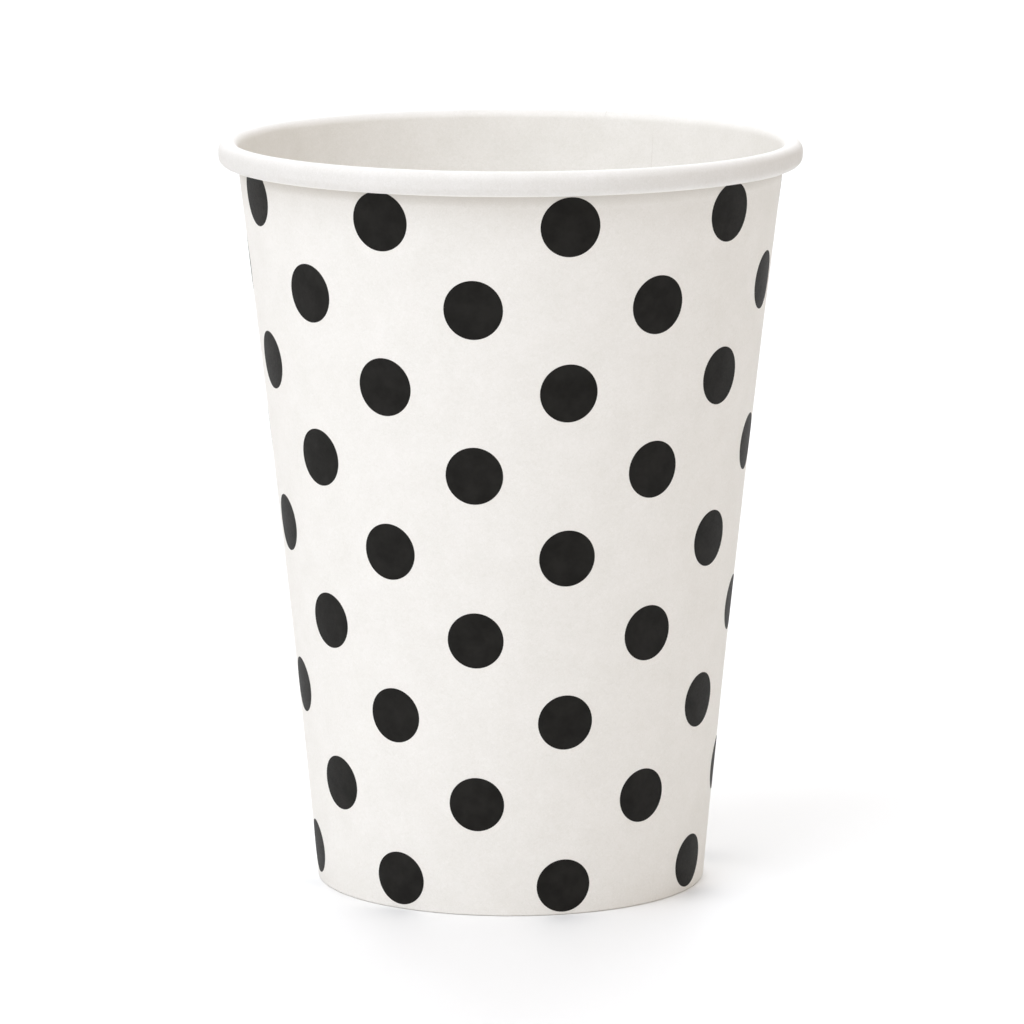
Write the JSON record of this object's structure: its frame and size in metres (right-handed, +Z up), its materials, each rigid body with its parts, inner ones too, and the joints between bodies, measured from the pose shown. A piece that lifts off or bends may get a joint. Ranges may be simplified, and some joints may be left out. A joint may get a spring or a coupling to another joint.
{
  "type": "paper cup",
  "caption": "Single-wall paper drinking cup with a rolled rim, a lapped side seam, a recessed base disc clamped in a folded foot, and printed black polka dots.",
  "frame": {"origin": "middle of the foot ring, on the surface the cup stands on", "axes": "+Z up along the cup's axis, -Y towards the front of the picture, +X to the right in the picture"},
  "size_m": [0.076, 0.076, 0.0976],
  "materials": {
    "paper_white": "matt bleached paperboard with a faint fibre texture",
    "base_white": "matt bleached paperboard with a faint fibre texture",
    "ink_black": "matt black ink printed on paperboard"
  },
  "bodies": {
    "root": {"side_wall": "paper_white", "base_disc": "base_white", "printed_dots": "ink_black"}
  },
  "joints": []
}
